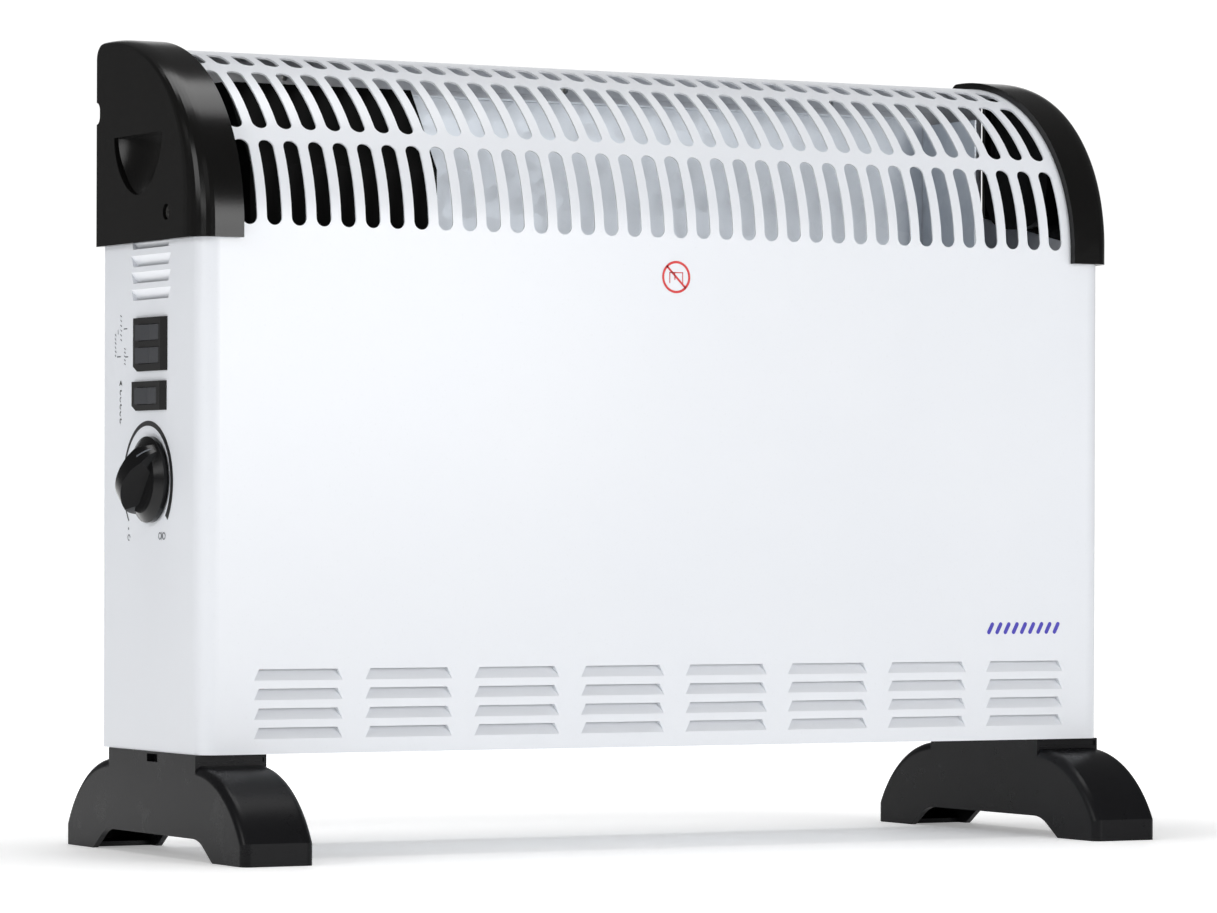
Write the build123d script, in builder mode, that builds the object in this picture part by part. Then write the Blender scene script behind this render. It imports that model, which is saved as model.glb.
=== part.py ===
from build123d import *
import os
from math import cos, radians, sin

os.makedirs("parts", exist_ok=True)

# ---------------------------------------------------------------- case
CASE_X = 6.7  # the dial sticks out on the left, so the case sits right of the origin
CASE_W = 530.0
CASE_FRONT = -58.0
CASE_BACK = 62.0
CASE_BOTTOM = 52.0
CASE_TOP = 406.9
SHEET = 1.0
EDGE_R = 10.0
BEND_Y = 50.0  # centre of the elliptical bend of the top
BEND_Z = 312.0
BEND_A = BEND_Y - CASE_FRONT
BEND_B = CASE_TOP - BEND_Z
LEFT = CASE_X - CASE_W / 2
RIGHT = CASE_X + CASE_W / 2
SIDE_TOP_FRONT = 312.5  # the folded sides stop inside the end caps, higher at the back
SIDE_TOP = 337.5
GRILLE_HALF = 262.0
BACK_FLANGE = 12.0
FRONT_FLANGE = 12.0
FOOT_FLANGE = 42.0
REAR_Y = CASE_BACK - SHEET  # inner face of the rear panel

# ---------------------------------------------------------------- grille
GRILLE_X = CASE_X - 2.4
SLOT_COUNT = 36
SLOT_PITCH = 13.54
SLOT_WIDTH = 8.3
SLOT_ROWS = ((0.6, 27.5), (31.6, 58.2), (62.9, 72.7))  # start and end angle round the bend

# ---------------------------------------------------------------- louvres
LOUVRE_BASE = 48.5
LOUVRE_TIP = 43.0
LOUVRE_H = 5.4
LOUVRE_DEPTH = 3.2
FRONT_LOUVRE_PITCH = 61.1
FRONT_LOUVRE_X = CASE_X + 1.7
FRONT_LOUVRE_TOPS = (93.7, 84.1, 74.4, 64.9)
SIDE_LOUVRE_SCALE = 44.0 / LOUVRE_BASE
SIDE_LOUVRE_Y = 3.7
SIDE_LOUVRE_LOWS = (303.5, 294.7, 286.4, 277.8)

# ---------------------------------------------------------------- end caps
CAP_INNER = 244.2
CAP_OUTER = 269.4
CAP_FRONT = CASE_FRONT - 4.2
CAP_TOP = CASE_TOP + 3.6
CAP_LOW = 306.2
CAP_BACK_R = 7.0  # rounding of the corner at the back of the top
SHOULDER_X = 9.5  # the shoulder between the rim and the flat outer face: its width,
SHOULDER_FRONT = 17.0  # how far the flat face stands behind the front,
SHOULDER_TOP = 2.2  # how far it stands below the top,
SHOULDER_RISE = 20.0  # and how much higher its bend is centred
SHOULDER_STEPS = 7
CAP_FIT = 0.3
CAP_SKIN = 2.2
GRIP_TOP = 360.2
GRIP_TIP = 330.0
GRIP_BACK = 39.6
GRIP_FRONT = -19.4
GRIP_MID = (GRIP_BACK + GRIP_FRONT) / 2
GRIP_DEPTH = 15.0
GRIP_WALL = 2.0
CAP_SCREW_Y = -24.6
CAP_SCREW_Z = 319.8

# ---------------------------------------------------------------- feet
FOOT_INNER = 227.1
FOOT_OUTER = 265.6
FOOT_MID = (FOOT_INNER + FOOT_OUTER) / 2
FOOT_W = FOOT_OUTER - FOOT_INNER
FOOT_HALF = 109.0
FOOT_TOE = 11.2
FOOT_KNEE_Y = 85.8
FOOT_KNEE_Z = 36.5
COLLAR_HALF = 53.0
COLLAR_Z = 46.6
FOOT_WALL = 3.0
FOOT_ROOF = 43.0
ARCH_LOW = 73.0
ARCH_HIGH = 57.0
ARCH_Z = 10.8
ARCH_R = 22.0
COLLAR_PANEL_SINK = 0.8
COLLAR_PANEL_EDGE = 1.4
FOOT_SCREW_Y = 30.0

# ---------------------------------------------------------------- screws
SCREW_HOLE_R = 2.0
SCREW_R = 1.8
SCREW_HEAD_R = 3.8
SCREW_HEAD_T = 2.2
REAR_SCREW_X = 258.0
REAR_SCREW_HEIGHTS = (80.0, 185.0, 290.0)
REAR_TOP_SCREWS = (-165.0, 0.0, 165.0)
REAR_TOP_SCREW_Z = 397.0

# ---------------------------------------------------------------- switches
FLANGE_T = 1.8
BEZEL_BEVEL = 5.0
BEZEL_CORNER = 5.0
SWITCH_DEPTH = 20.0
SWITCH_WALL = 1.6
PIVOT_X = LEFT + 0.8
ROCKER_TILT = 7.0
ROCKER_CREST = 2.2
ROCKER_GAP = 0.3
PIN_R = 1.5
PIN_LEN = 0.9
PIN_FIT = 0.05
DOUBLE_Y = 2.2
DOUBLE_Z = 255.2
DOUBLE_L = 38.4
DOUBLE_H = 26.8
DOUBLE_ROCKER_Y = 2.6
DOUBLE_ROCKER_R = 12.2
HIGH_ROCKER_Z = 261.1
LOW_ROCKER_Z = 249.6
DOUBLE_ROCKER_H = 8.4
TURBO_Y = 3.4
TURBO_Z = 229.4
TURBO_L = 39.2
TURBO_H = 14.6
TURBO_ROCKER_Y = 4.4
TURBO_ROCKER_R = 11.4
TURBO_ROCKER_H = 8.8

# ---------------------------------------------------------------- thermostat
DIAL_Y = 1.0
DIAL_Z = 187.5
KNOB_R = 21.6
KNOB_GAP = 0.7
KNOB_SKIRT = 2.6
KNOB_DOME = 3.4
KNOB_HEIGHT = 17.1
KNOB_TURN = 40.0
KNOB_DOME_R = 16.7
FIN_HALF = 20.8
FIN_W = 17.0
FIN_TIP_W = 4.6
FIN_TOP_W = 8.0
SHAFT_R = 3.0
SHAFT_FIT = 0.05
BUSH_R = 5.0
BUSH_OUT = 3.2

# ---------------------------------------------------------------- inner parts
REAR_VENT_Z = 96.0
REAR_VENT_PITCH = 11.0
REAR_VENT_H = 4.5
KEYHOLE_X = 150.0
KEYHOLE_Z = 336.0
KEYHOLE_R = 5.0
KEYHOLE_NECK_R = 2.6
GLAND_X = -222.0
GLAND_Z = 84.0
GLAND_R = 7.5
GLAND_BORE_R = 3.6
BASE_FIT = 0.4
BASE_VENT_PITCH = 12.0
BASE_VENT_H = 5.5
GRIP_SCOOP_R = 46.0
GRIP_SCOOP_OUT = 33.0
CAP_SCREW_SINK = 2.4
CAP_NOTCH_Z = 373.9
FOOT_EDGE_R = 4.5
PAD_L = 26.0
PAD_T = 2.5
LATCH_L = 12.8
LATCH_H = 4.0
LATCH_Z = 48.8
ROCKER_TILT_RISE = 0.1228  # tangent of the rocker's tilt
THERMO_DEPTH = 24.0
NUT_ROOM_R = 9.5
NUT_ROOM_T = 3.4
FAN_H = 14.0
REFLECTOR_Y = 45.0
REFLECTOR_X0 = -122.0
REFLECTOR_X1 = 215.0
REFLECTOR_LOW = 70.0
REFLECTOR_TOP = 389.4
REFLECTOR_LIP = 3.5
PARTITION_X = 215.3
PARTITION_LEFT_X = -122.6
PARTITION_FRONT = -50.0
PARTITION_UPPER_FRONT = -8.0
PARTITION_LOW = 56.0
PARTITION_STEP = 198.0
ELEMENT_MID = 46.0
ELEMENT_L = 330.0
ELEMENT_Z = 128.0
BOARD_Y = 20.0
BOARD_T = 2.0
BOARD_H = 34.0
COIL_R = 2.2
COIL_PITCH = 18.0
COIL_RISE = 8.0
COIL_COUNT = 17
CUTOUT_Z = 175.0
TERMINAL_X = -205.0
TERMINAL_Y = 28.0
WIRE_R = 1.3
WIRE_STEP = 3.6

# ---------------------------------------------------------------- fan
FAN_X = CASE_X - 176.0
FAN_Y = 12.0
DUCT_W = 104.0
DUCT_FRONT = -34.0
DUCT_BACK = 58.0
DUCT_LOW = 200.0
DUCT_WALL = 2.0
DUCT_SHOULDER = 345.0
DUCT_LIP_Y = -4.0
DUCT_TOP = 387.5
DECK_Z = 206.0
FAN_BORE_R = 41.0
BLADE_R = 39.0
HUB_R = 14.0
BLADE_COUNT = 7
MOTOR_R = 16.0
MOTOR_LOW = 172.0
FAN_SHAFT_R = 2.0


def case_face(gap, y_back, z_low, x):
    """Side outline of the case with its elliptical bend, grown outward by gap, standing at x."""
    top = CASE_TOP + gap
    front = CASE_FRONT - gap
    with BuildSketch(Plane.YZ.offset(x)) as face:
        with BuildLine():
            Polyline((BEND_Y, top), (y_back, top), (y_back, z_low), (front, z_low), (front, BEND_Z))
            EllipticalCenterArc((BEND_Y, BEND_Z), BEND_A + gap, BEND_B + gap, start_angle=90, arc_size=90)
        make_face()
    return face.sketch


def case_block(gap, y_back, z_low, half, corner):
    """The outline above extruded across the width, its front and top corners rounded."""
    with BuildPart() as block:
        extrude(case_face(gap, y_back, z_low, CASE_X - half), amount=2 * half)
        ends = block.faces().filter_by(Axis.X)
        rim = ends.edges().filter_by(lambda e: e.center().Z > z_low + 1 and e.center().Y < y_back - 1)
        fillet(rim, corner)
    return block.part


def bend_plane(start, end):
    """Plane lying on the bend's chord between two angles, facing outward, and the chord's length."""
    y0 = BEND_Y - BEND_A * cos(radians(start))
    z0 = BEND_Z + BEND_B * sin(radians(start))
    y1 = BEND_Y - BEND_A * cos(radians(end))
    z1 = BEND_Z + BEND_B * sin(radians(end))
    chord = ((y1 - y0) ** 2 + (z1 - z0) ** 2) ** 0.5
    normal = (0, -(z1 - z0) / chord, (y1 - y0) / chord)
    plane = Plane(origin=(GRILLE_X, (y0 + y1) / 2, (z0 + z1) / 2), x_dir=(1, 0, 0), z_dir=normal)
    return plane, chord


# ---------------------------------------------------------------- louvre tools
# Each louvre is a tongue lanced from the sheet and pushed in. The boss is the metal behind the
# sheet; the scoop is the air in front of it. Both are drawn with the hinge line at the origin,
# outward along -Y and the open edge up.
with BuildPart() as louvre_boss:
    with BuildSketch(Plane.YZ):
        with BuildLine():
            Polyline((0.4, -0.6), (0.4, LOUVRE_H), (LOUVRE_DEPTH + 1.0, LOUVRE_H), (1.0, -0.6), close=True)
        make_face()
    extrude(amount=LOUVRE_BASE / 2 + 1, both=True)
    with BuildSketch(Plane.XZ):
        with BuildLine():
            Polyline(
                (-LOUVRE_BASE / 2 - 1, -0.6),
                (LOUVRE_BASE / 2 + 1, -0.6),
                (LOUVRE_TIP / 2 + 1, LOUVRE_H),
                (-LOUVRE_TIP / 2 - 1, LOUVRE_H),
                close=True,
            )
        make_face()
    extrude(amount=LOUVRE_DEPTH + 3, both=True, mode=Mode.INTERSECT)

with BuildPart() as louvre_scoop:
    with BuildSketch(Plane.YZ):
        with BuildLine():
            Polyline((-0.5, 0), (-0.5, LOUVRE_H + 0.2), (LOUVRE_DEPTH, LOUVRE_H + 0.2), (0, 0), close=True)
        make_face()
    extrude(amount=LOUVRE_BASE / 2, both=True)
    with BuildSketch(Plane.XZ):
        with BuildLine():
            Polyline(
                (-LOUVRE_BASE / 2, 0),
                (LOUVRE_BASE / 2, 0),
                (LOUVRE_TIP / 2, LOUVRE_H + 0.2),
                (-LOUVRE_TIP / 2, LOUVRE_H + 0.2),
                close=True,
            )
        make_face()
    extrude(amount=LOUVRE_DEPTH + 3, both=True, mode=Mode.INTERSECT)

front_louvres = []
for column in range(8):
    for top in FRONT_LOUVRE_TOPS:
        x = FRONT_LOUVRE_X + (column - 3.5) * FRONT_LOUVRE_PITCH
        front_louvres.append(Location((x, CASE_FRONT, top - LOUVRE_H)))
left_louvres = []
right_louvres = []
for low in SIDE_LOUVRE_LOWS:
    left_louvres.append(Location((LEFT, SIDE_LOUVRE_Y, low + LOUVRE_H), (180, 0, -90)))
    right_louvres.append(Location((RIGHT, SIDE_LOUVRE_Y, low + LOUVRE_H), (180, 0, 90)))

# ---------------------------------------------------------------- screw positions
foot_screw_spots = []
for side in (-1, 1):
    for end in (-1, 1):
        foot_screw_spots.append((CASE_X + side * FOOT_MID, end * FOOT_SCREW_Y))
rear_screw_spots = []
for side in (-1, 1):
    for z in REAR_SCREW_HEIGHTS:
        rear_screw_spots.append((CASE_X + side * REAR_SCREW_X, z))
for x in REAR_TOP_SCREWS:
    rear_screw_spots.append((CASE_X + x, REAR_TOP_SCREW_Z))

# ---------------------------------------------------------------- front cover
with BuildPart() as front_cover:
    add(case_block(0, REAR_Y, CASE_BOTTOM, CASE_W / 2, EDGE_R))
    inner = case_block(-SHEET, REAR_Y - SHEET, CASE_BOTTOM + SHEET, CASE_W / 2 - SHEET, EDGE_R - SHEET)
    add(inner, mode=Mode.SUBTRACT)
    with BuildSketch(Plane.XZ.offset(-CASE_BACK)):
        with Locations((CASE_X, (CASE_BOTTOM + SHEET + CASE_TOP - SHEET - BACK_FLANGE) / 2)):
            Rectangle(CASE_W - 2 * SHEET - 2 * BACK_FLANGE, CASE_TOP - CASE_BOTTOM - 2 * SHEET - BACK_FLANGE)
    extrude(amount=2.5, mode=Mode.SUBTRACT)
    with BuildSketch(Plane.XY.offset(CASE_BOTTOM - 1)):
        with Locations((CASE_X, (CASE_FRONT + FRONT_FLANGE + REAR_Y) / 2)):
            Rectangle(CASE_W - 2 * FOOT_FLANGE, REAR_Y - CASE_FRONT - FRONT_FLANGE)
    extrude(amount=3, mode=Mode.SUBTRACT)
    for side in (-1, 1):
        with BuildSketch(Plane.YZ.offset(CASE_X + side * GRILLE_HALF)):
            with BuildLine():
                Polyline(
                    (CASE_FRONT, SIDE_TOP_FRONT),
                    (CASE_BACK, SIDE_TOP),
                    (CASE_BACK, CASE_TOP + 1),
                    (CASE_FRONT - 1, CASE_TOP + 1),
                    (CASE_FRONT - 1, SIDE_TOP_FRONT),
                    close=True,
                )
            make_face()
        extrude(amount=side * CASE_W, mode=Mode.SUBTRACT)
    for start, end in SLOT_ROWS:
        plane, chord = bend_plane(start, end)
        with BuildSketch(plane):
            with GridLocations(SLOT_PITCH, 0, SLOT_COUNT, 1):
                SlotOverall(chord, SLOT_WIDTH, rotation=90)
        extrude(amount=7, both=True, mode=Mode.SUBTRACT)
    with Locations(*front_louvres):
        add(louvre_boss.part)
        add(louvre_scoop.part, mode=Mode.SUBTRACT)
    with Locations(*left_louvres, *right_louvres):
        add(louvre_boss.part)
        add(louvre_scoop.part, mode=Mode.SUBTRACT)
    # openings for the switches, the thermostat's bushing and the screws
    with BuildSketch(Plane.YZ.offset(LEFT - 2)):
        with Locations((DOUBLE_Y, DOUBLE_Z)):
            Rectangle(DOUBLE_L - 4 + CAP_FIT, DOUBLE_H - 3 + CAP_FIT)
        with Locations((TURBO_Y, TURBO_Z)):
            Rectangle(TURBO_L - 4 + CAP_FIT, TURBO_H - 3 + CAP_FIT)
        with Locations((DIAL_Y, DIAL_Z)):
            Circle(BUSH_R + CAP_FIT)
    extrude(amount=6, mode=Mode.SUBTRACT)
    with BuildSketch(Plane.YZ.offset(LEFT - 2)):
        with Locations((CAP_SCREW_Y, CAP_SCREW_Z)):
            Circle(SCREW_HOLE_R)
    extrude(amount=CASE_W + 4, mode=Mode.SUBTRACT)
    with BuildSketch(Plane.XY.offset(CASE_BOTTOM - 1)):
        with Locations(*foot_screw_spots):
            Circle(SCREW_HOLE_R)
    extrude(amount=4, mode=Mode.SUBTRACT)
    with BuildSketch(Plane.XZ.offset(-CASE_BACK)):
        with Locations(*rear_screw_spots):
            Circle(SCREW_HOLE_R)
    extrude(amount=4, mode=Mode.SUBTRACT)
front_cover.part.label = "front_cover"
export_step(front_cover.part, "parts/front_cover.step")

# ---------------------------------------------------------------- rear panel
with BuildPart() as rear_panel:
    with BuildSketch(Plane.XZ.offset(-CASE_BACK)):
        with Locations((CASE_X, (CASE_BOTTOM + CASE_TOP) / 2)):
            RectangleRounded(CASE_W - 2, CASE_TOP - CASE_BOTTOM - 2, 4)
        with Locations(*rear_screw_spots):
            Circle(SCREW_HOLE_R, mode=Mode.SUBTRACT)
        with Locations((CASE_X, REAR_VENT_Z)):
            with GridLocations(FRONT_LOUVRE_PITCH, REAR_VENT_PITCH, 8, 5):
                SlotOverall(LOUVRE_BASE, REAR_VENT_H, mode=Mode.SUBTRACT)
        with Locations((CASE_X - KEYHOLE_X, KEYHOLE_Z), (CASE_X + KEYHOLE_X, KEYHOLE_Z)):
            Circle(KEYHOLE_R, mode=Mode.SUBTRACT)
        with Locations((CASE_X - KEYHOLE_X, KEYHOLE_Z + 6), (CASE_X + KEYHOLE_X, KEYHOLE_Z + 6)):
            SlotOverall(16, 2 * KEYHOLE_NECK_R, rotation=90, mode=Mode.SUBTRACT)
        with Locations((CASE_X + GLAND_X, GLAND_Z)):
            Circle(GLAND_R + 0.2, mode=Mode.SUBTRACT)
    extrude(amount=SHEET)
rear_panel.part.label = "rear_panel"
export_step(rear_panel.part, "parts/rear_panel.step")

# ---------------------------------------------------------------- base plate
with BuildPart() as base_plate:
    with BuildSketch(Plane.XY.offset(CASE_BOTTOM + SHEET)):
        with Locations((CASE_X, (CASE_FRONT + REAR_Y) / 2)):
            RectangleRounded(
                CASE_W - 2 * SHEET - 2 * BASE_FIT, REAR_Y - CASE_FRONT - 2 * SHEET - 2 * BASE_FIT, EDGE_R
            )
        with Locations((CASE_X, 0)):
            with GridLocations(FRONT_LOUVRE_PITCH, BASE_VENT_PITCH, 7, 8):
                SlotOverall(LOUVRE_BASE, BASE_VENT_H, mode=Mode.SUBTRACT)
        with Locations(*foot_screw_spots):
            Circle(SCREW_HOLE_R, mode=Mode.SUBTRACT)
    extrude(amount=SHEET)
base_plate.part.label = "base_plate"
export_step(base_plate.part, "parts/base_plate.step")

# ---------------------------------------------------------------- end caps
def cap_outline(x, inset):
    """Side outline of a cap standing at x; inset runs from 0 at the rim to 1 at the flat outer face."""
    front = CAP_FRONT + inset * SHOULDER_FRONT
    top = CAP_TOP - inset * SHOULDER_TOP
    bend_z = BEND_Z + inset * SHOULDER_RISE
    turn = CAP_BACK_R * (1 - cos(radians(45)))
    with BuildSketch(Plane.YZ.offset(x)) as outline:
        with BuildLine():
            Line((BEND_Y, top), (CASE_BACK - CAP_BACK_R, top))
            ThreePointArc(
                (CASE_BACK - CAP_BACK_R, top), (CASE_BACK - turn, top - turn), (CASE_BACK, top - CAP_BACK_R)
            )
            Polyline((CASE_BACK, top - CAP_BACK_R), (CASE_BACK, CAP_LOW), (front, CAP_LOW), (front, bend_z))
            EllipticalCenterArc((BEND_Y, bend_z), BEND_Y - front, top - bend_z, start_angle=90, arc_size=90)
        make_face()
    return outline.sketch


# what the cap holds above the folded side of the case
with BuildPart() as cap_hollow:
    extrude(case_face(-2, CASE_BACK - 3, CASE_BOTTOM, CASE_X + CAP_INNER), amount=CAP_OUTER - CAP_INNER - CAP_SKIN)
    split(bisect_by=Plane.XY.offset(SIDE_TOP + 0.6), keep=Keep.TOP)

# the ball that scoops the hand grip
with BuildPart() as grip_ball:
    with Locations((CASE_X + CAP_OUTER + GRIP_SCOOP_OUT, GRIP_MID, GRIP_TOP - 1)):
        Sphere(GRIP_SCOOP_R)

with BuildPart() as end_cap_right:
    extrude(cap_outline(CASE_X + CAP_INNER, 0), amount=CAP_OUTER - CAP_INNER - SHOULDER_X)
    shoulder = []
    for step in range(SHOULDER_STEPS + 1):
        turn_angle = radians(90 * step / SHOULDER_STEPS)
        x = CASE_X + CAP_OUTER - SHOULDER_X * (1 - sin(turn_angle))
        shoulder.append(cap_outline(x, 1 - cos(turn_angle)))
    loft(shoulder, ruled=True)
    # room for the case
    extrude(
        case_face(CAP_FIT, CASE_BACK + 5, CAP_LOW - 5, CASE_X + CAP_INNER - 1),
        amount=CASE_W / 2 + CAP_FIT - CAP_INNER + 1,
        mode=Mode.SUBTRACT,
    )
    add(cap_hollow.part, mode=Mode.SUBTRACT)
    # hand grip: a scooped pocket under a flat top edge
    with BuildSketch(Plane.YZ.offset(CASE_X + CAP_OUTER - CAP_SKIN / 2)):
        with BuildLine():
            Polyline(
                (GRIP_BACK + 2, GRIP_TOP - 8),
                (GRIP_BACK + 2, GRIP_TOP + 2),
                (GRIP_FRONT - 2, GRIP_TOP + 2),
                (GRIP_FRONT - 2, GRIP_TOP - 8),
            )
            Spline(
                (GRIP_FRONT - 2, GRIP_TOP - 8),
                (GRIP_MID, GRIP_TIP - 1.6),
                (GRIP_BACK + 2, GRIP_TOP - 8),
                tangents=((0.12, -1), (0.12, 1)),
            )
        make_face()
    extrude(amount=-GRIP_DEPTH)
    with BuildSketch(Plane.YZ.offset(CASE_X + CAP_OUTER + 1)):
        with BuildLine():
            Line((GRIP_BACK, GRIP_TOP), (GRIP_FRONT, GRIP_TOP))
            Spline(
                (GRIP_FRONT, GRIP_TOP),
                (GRIP_FRONT + 3.5, GRIP_TOP - 13),
                (GRIP_MID, GRIP_TIP),
                (GRIP_BACK - 3.5, GRIP_TOP - 13),
                (GRIP_BACK, GRIP_TOP),
            )
        make_face()
    grip_cut = extrude(amount=-(GRIP_DEPTH - GRIP_WALL + 1), mode=Mode.PRIVATE)
    add(grip_cut & grip_ball.part, mode=Mode.SUBTRACT)
    # screw hole with its counterbore, and the half-round notch at the back edge
    with BuildSketch(Plane.YZ.offset(CASE_X + CAP_OUTER + 1)):
        with Locations((CAP_SCREW_Y, CAP_SCREW_Z)):
            Circle(SCREW_HEAD_R + 0.2)
    extrude(amount=-(1 + CAP_SCREW_SINK), mode=Mode.SUBTRACT)
    with BuildSketch(Plane.YZ.offset(CASE_X + CAP_OUTER + 1)):
        with Locations((CAP_SCREW_Y, CAP_SCREW_Z)):
            Circle(SCREW_HOLE_R)
    extrude(amount=-8, mode=Mode.SUBTRACT)
    with BuildSketch(Plane.YZ.offset(CASE_X + CAP_OUTER + 1)):
        with Locations((CASE_BACK, CAP_NOTCH_Z)):
            SlotOverall(11, 8, rotation=90)
    extrude(amount=-3, mode=Mode.SUBTRACT)
end_cap_right.part.label = "end_cap_right"
export_step(end_cap_right.part, "parts/end_cap_right.step")

with BuildPart() as end_cap_left:
    add(mirror(end_cap_right.part, about=Plane.YZ.offset(CASE_X)))
end_cap_left.part.label = "end_cap_left"
export_step(end_cap_left.part, "parts/end_cap_left.step")

# ---------------------------------------------------------------- feet
with BuildPart() as foot_right:
    with BuildSketch(Plane.YZ.offset(CASE_X + FOOT_INNER)):
        with BuildLine():
            Polyline((-FOOT_HALF, FOOT_TOE), (-FOOT_HALF, 0), (FOOT_HALF, 0), (FOOT_HALF, FOOT_TOE))
            ThreePointArc((FOOT_HALF, FOOT_TOE), (FOOT_KNEE_Y, FOOT_KNEE_Z), (COLLAR_HALF, COLLAR_Z))
            Polyline(
                (COLLAR_HALF, COLLAR_Z),
                (COLLAR_HALF, CASE_BOTTOM),
                (-COLLAR_HALF, CASE_BOTTOM),
                (-COLLAR_HALF, COLLAR_Z),
            )
            ThreePointArc((-COLLAR_HALF, COLLAR_Z), (-FOOT_KNEE_Y, FOOT_KNEE_Z), (-FOOT_HALF, FOOT_TOE))
        make_face()
    extrude(amount=FOOT_W)
    toes = foot_right.edges().filter_by(Axis.Z).filter_by(lambda e: abs(e.center().Y) > FOOT_HALF - 1)
    insteps = foot_right.edges().filter_by(GeomType.CIRCLE)
    fillet(toes + insteps, FOOT_EDGE_R)
    with BuildSketch(Plane.YZ.offset(CASE_X + FOOT_INNER - 1)):
        with BuildLine():
            Polyline((-ARCH_LOW, 0), (-ARCH_HIGH, ARCH_Z), (ARCH_HIGH, ARCH_Z), (ARCH_LOW, 0), close=True)
        make_face()
        fillet(vertices().group_by(Axis.Y)[-1], ARCH_R)
    extrude(amount=FOOT_W + 2, mode=Mode.SUBTRACT)
    # the hollow, open below
    with BuildSketch(Plane.YZ.offset(CASE_X + FOOT_INNER + FOOT_WALL)):
        with BuildLine():
            toe_y = FOOT_HALF - FOOT_WALL
            knee_y = FOOT_KNEE_Y - 0.7 * FOOT_WALL
            knee_z = FOOT_KNEE_Z - FOOT_WALL
            Polyline((-toe_y, FOOT_TOE - 1), (-toe_y, -1), (toe_y, -1), (toe_y, FOOT_TOE - 1))
            ThreePointArc((toe_y, FOOT_TOE - 1), (knee_y, knee_z), (COLLAR_HALF, FOOT_ROOF))
            Line((COLLAR_HALF, FOOT_ROOF), (-COLLAR_HALF, FOOT_ROOF))
            ThreePointArc((-COLLAR_HALF, FOOT_ROOF), (-knee_y, knee_z), (-toe_y, FOOT_TOE - 1))
        make_face()
    extrude(amount=FOOT_W - 2 * FOOT_WALL, mode=Mode.SUBTRACT)
    # flat pads inside both ends carry the weight
    with BuildSketch(Plane.XY):
        for end in (-1, 1):
            with Locations((CASE_X + FOOT_MID, end * (FOOT_HALF - FOOT_WALL - PAD_L / 2))):
                Rectangle(FOOT_W - 2 * FOOT_WALL, PAD_L)
    extrude(amount=PAD_T)
    with BuildSketch(Plane.XY.offset(FOOT_ROOF - 1)):
        with Locations(*[spot for spot in foot_screw_spots if spot[0] > CASE_X]):
            Circle(SCREW_HOLE_R)
    extrude(amount=CASE_BOTTOM - FOOT_ROOF + 2, mode=Mode.SUBTRACT)
    # sunk panels on both ends of the collar
    for end in (-1, 1):
        with BuildSketch(Plane.XZ.offset(-end * COLLAR_HALF)):
            with Locations((CASE_X + FOOT_MID, (COLLAR_Z + CASE_BOTTOM) / 2)):
                Rectangle(FOOT_W - 2 * COLLAR_PANEL_EDGE, CASE_BOTTOM - COLLAR_Z - 2 * COLLAR_PANEL_EDGE)
        extrude(amount=end * COLLAR_PANEL_SINK, mode=Mode.SUBTRACT)
    # latch notch in the outer side of the collar
    with BuildSketch(Plane.YZ.offset(CASE_X + FOOT_OUTER + 1)):
        with Locations((-1, LATCH_Z)):
            Rectangle(LATCH_L, LATCH_H)
    extrude(amount=-5, mode=Mode.SUBTRACT)
foot_right.part.label = "foot_right"
export_step(foot_right.part, "parts/foot_right.step")

with BuildPart() as foot_left:
    add(mirror(foot_right.part, about=Plane.YZ.offset(CASE_X)))
foot_left.part.label = "foot_left"
export_step(foot_left.part, "parts/foot_left.step")

# ---------------------------------------------------------------- screws
with BuildPart() as foot_screws:
    with BuildSketch(Plane.XY.offset(FOOT_ROOF)):
        with Locations(*foot_screw_spots):
            Circle(SCREW_HEAD_R)
    extrude(amount=-SCREW_HEAD_T)
    with BuildSketch(Plane.XY.offset(FOOT_ROOF)):
        with Locations(*foot_screw_spots):
            Circle(SCREW_R)
    extrude(amount=CASE_BOTTOM - FOOT_ROOF + 7)
foot_screws.part.label = "foot_screws"
export_step(foot_screws.part, "parts/foot_screws.step")

with BuildPart() as rear_screws:
    with BuildSketch(Plane.XZ.offset(-CASE_BACK)):
        with Locations(*rear_screw_spots):
            Circle(SCREW_HEAD_R)
    extrude(amount=-SCREW_HEAD_T)
    with BuildSketch(Plane.XZ.offset(-CASE_BACK)):
        with Locations(*rear_screw_spots):
            Circle(SCREW_R)
    extrude(amount=7)
rear_screws.part.label = "rear_screws"
export_step(rear_screws.part, "parts/rear_screws.step")

with BuildPart() as cap_screws:
    for side in (-1, 1):
        seat = Plane.YZ.offset(CASE_X + side * (CAP_OUTER - CAP_SCREW_SINK))
        with BuildSketch(seat):
            with Locations((CAP_SCREW_Y, CAP_SCREW_Z)):
                Circle(SCREW_HEAD_R)
        extrude(amount=side * (SCREW_HEAD_T - 0.4))
        with BuildSketch(seat):
            with Locations((CAP_SCREW_Y, CAP_SCREW_Z)):
                Circle(SCREW_R)
        extrude(amount=-side * 8)
cap_screws.part.label = "cap_screws"
export_step(cap_screws.part, "parts/cap_screws.step")

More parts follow.
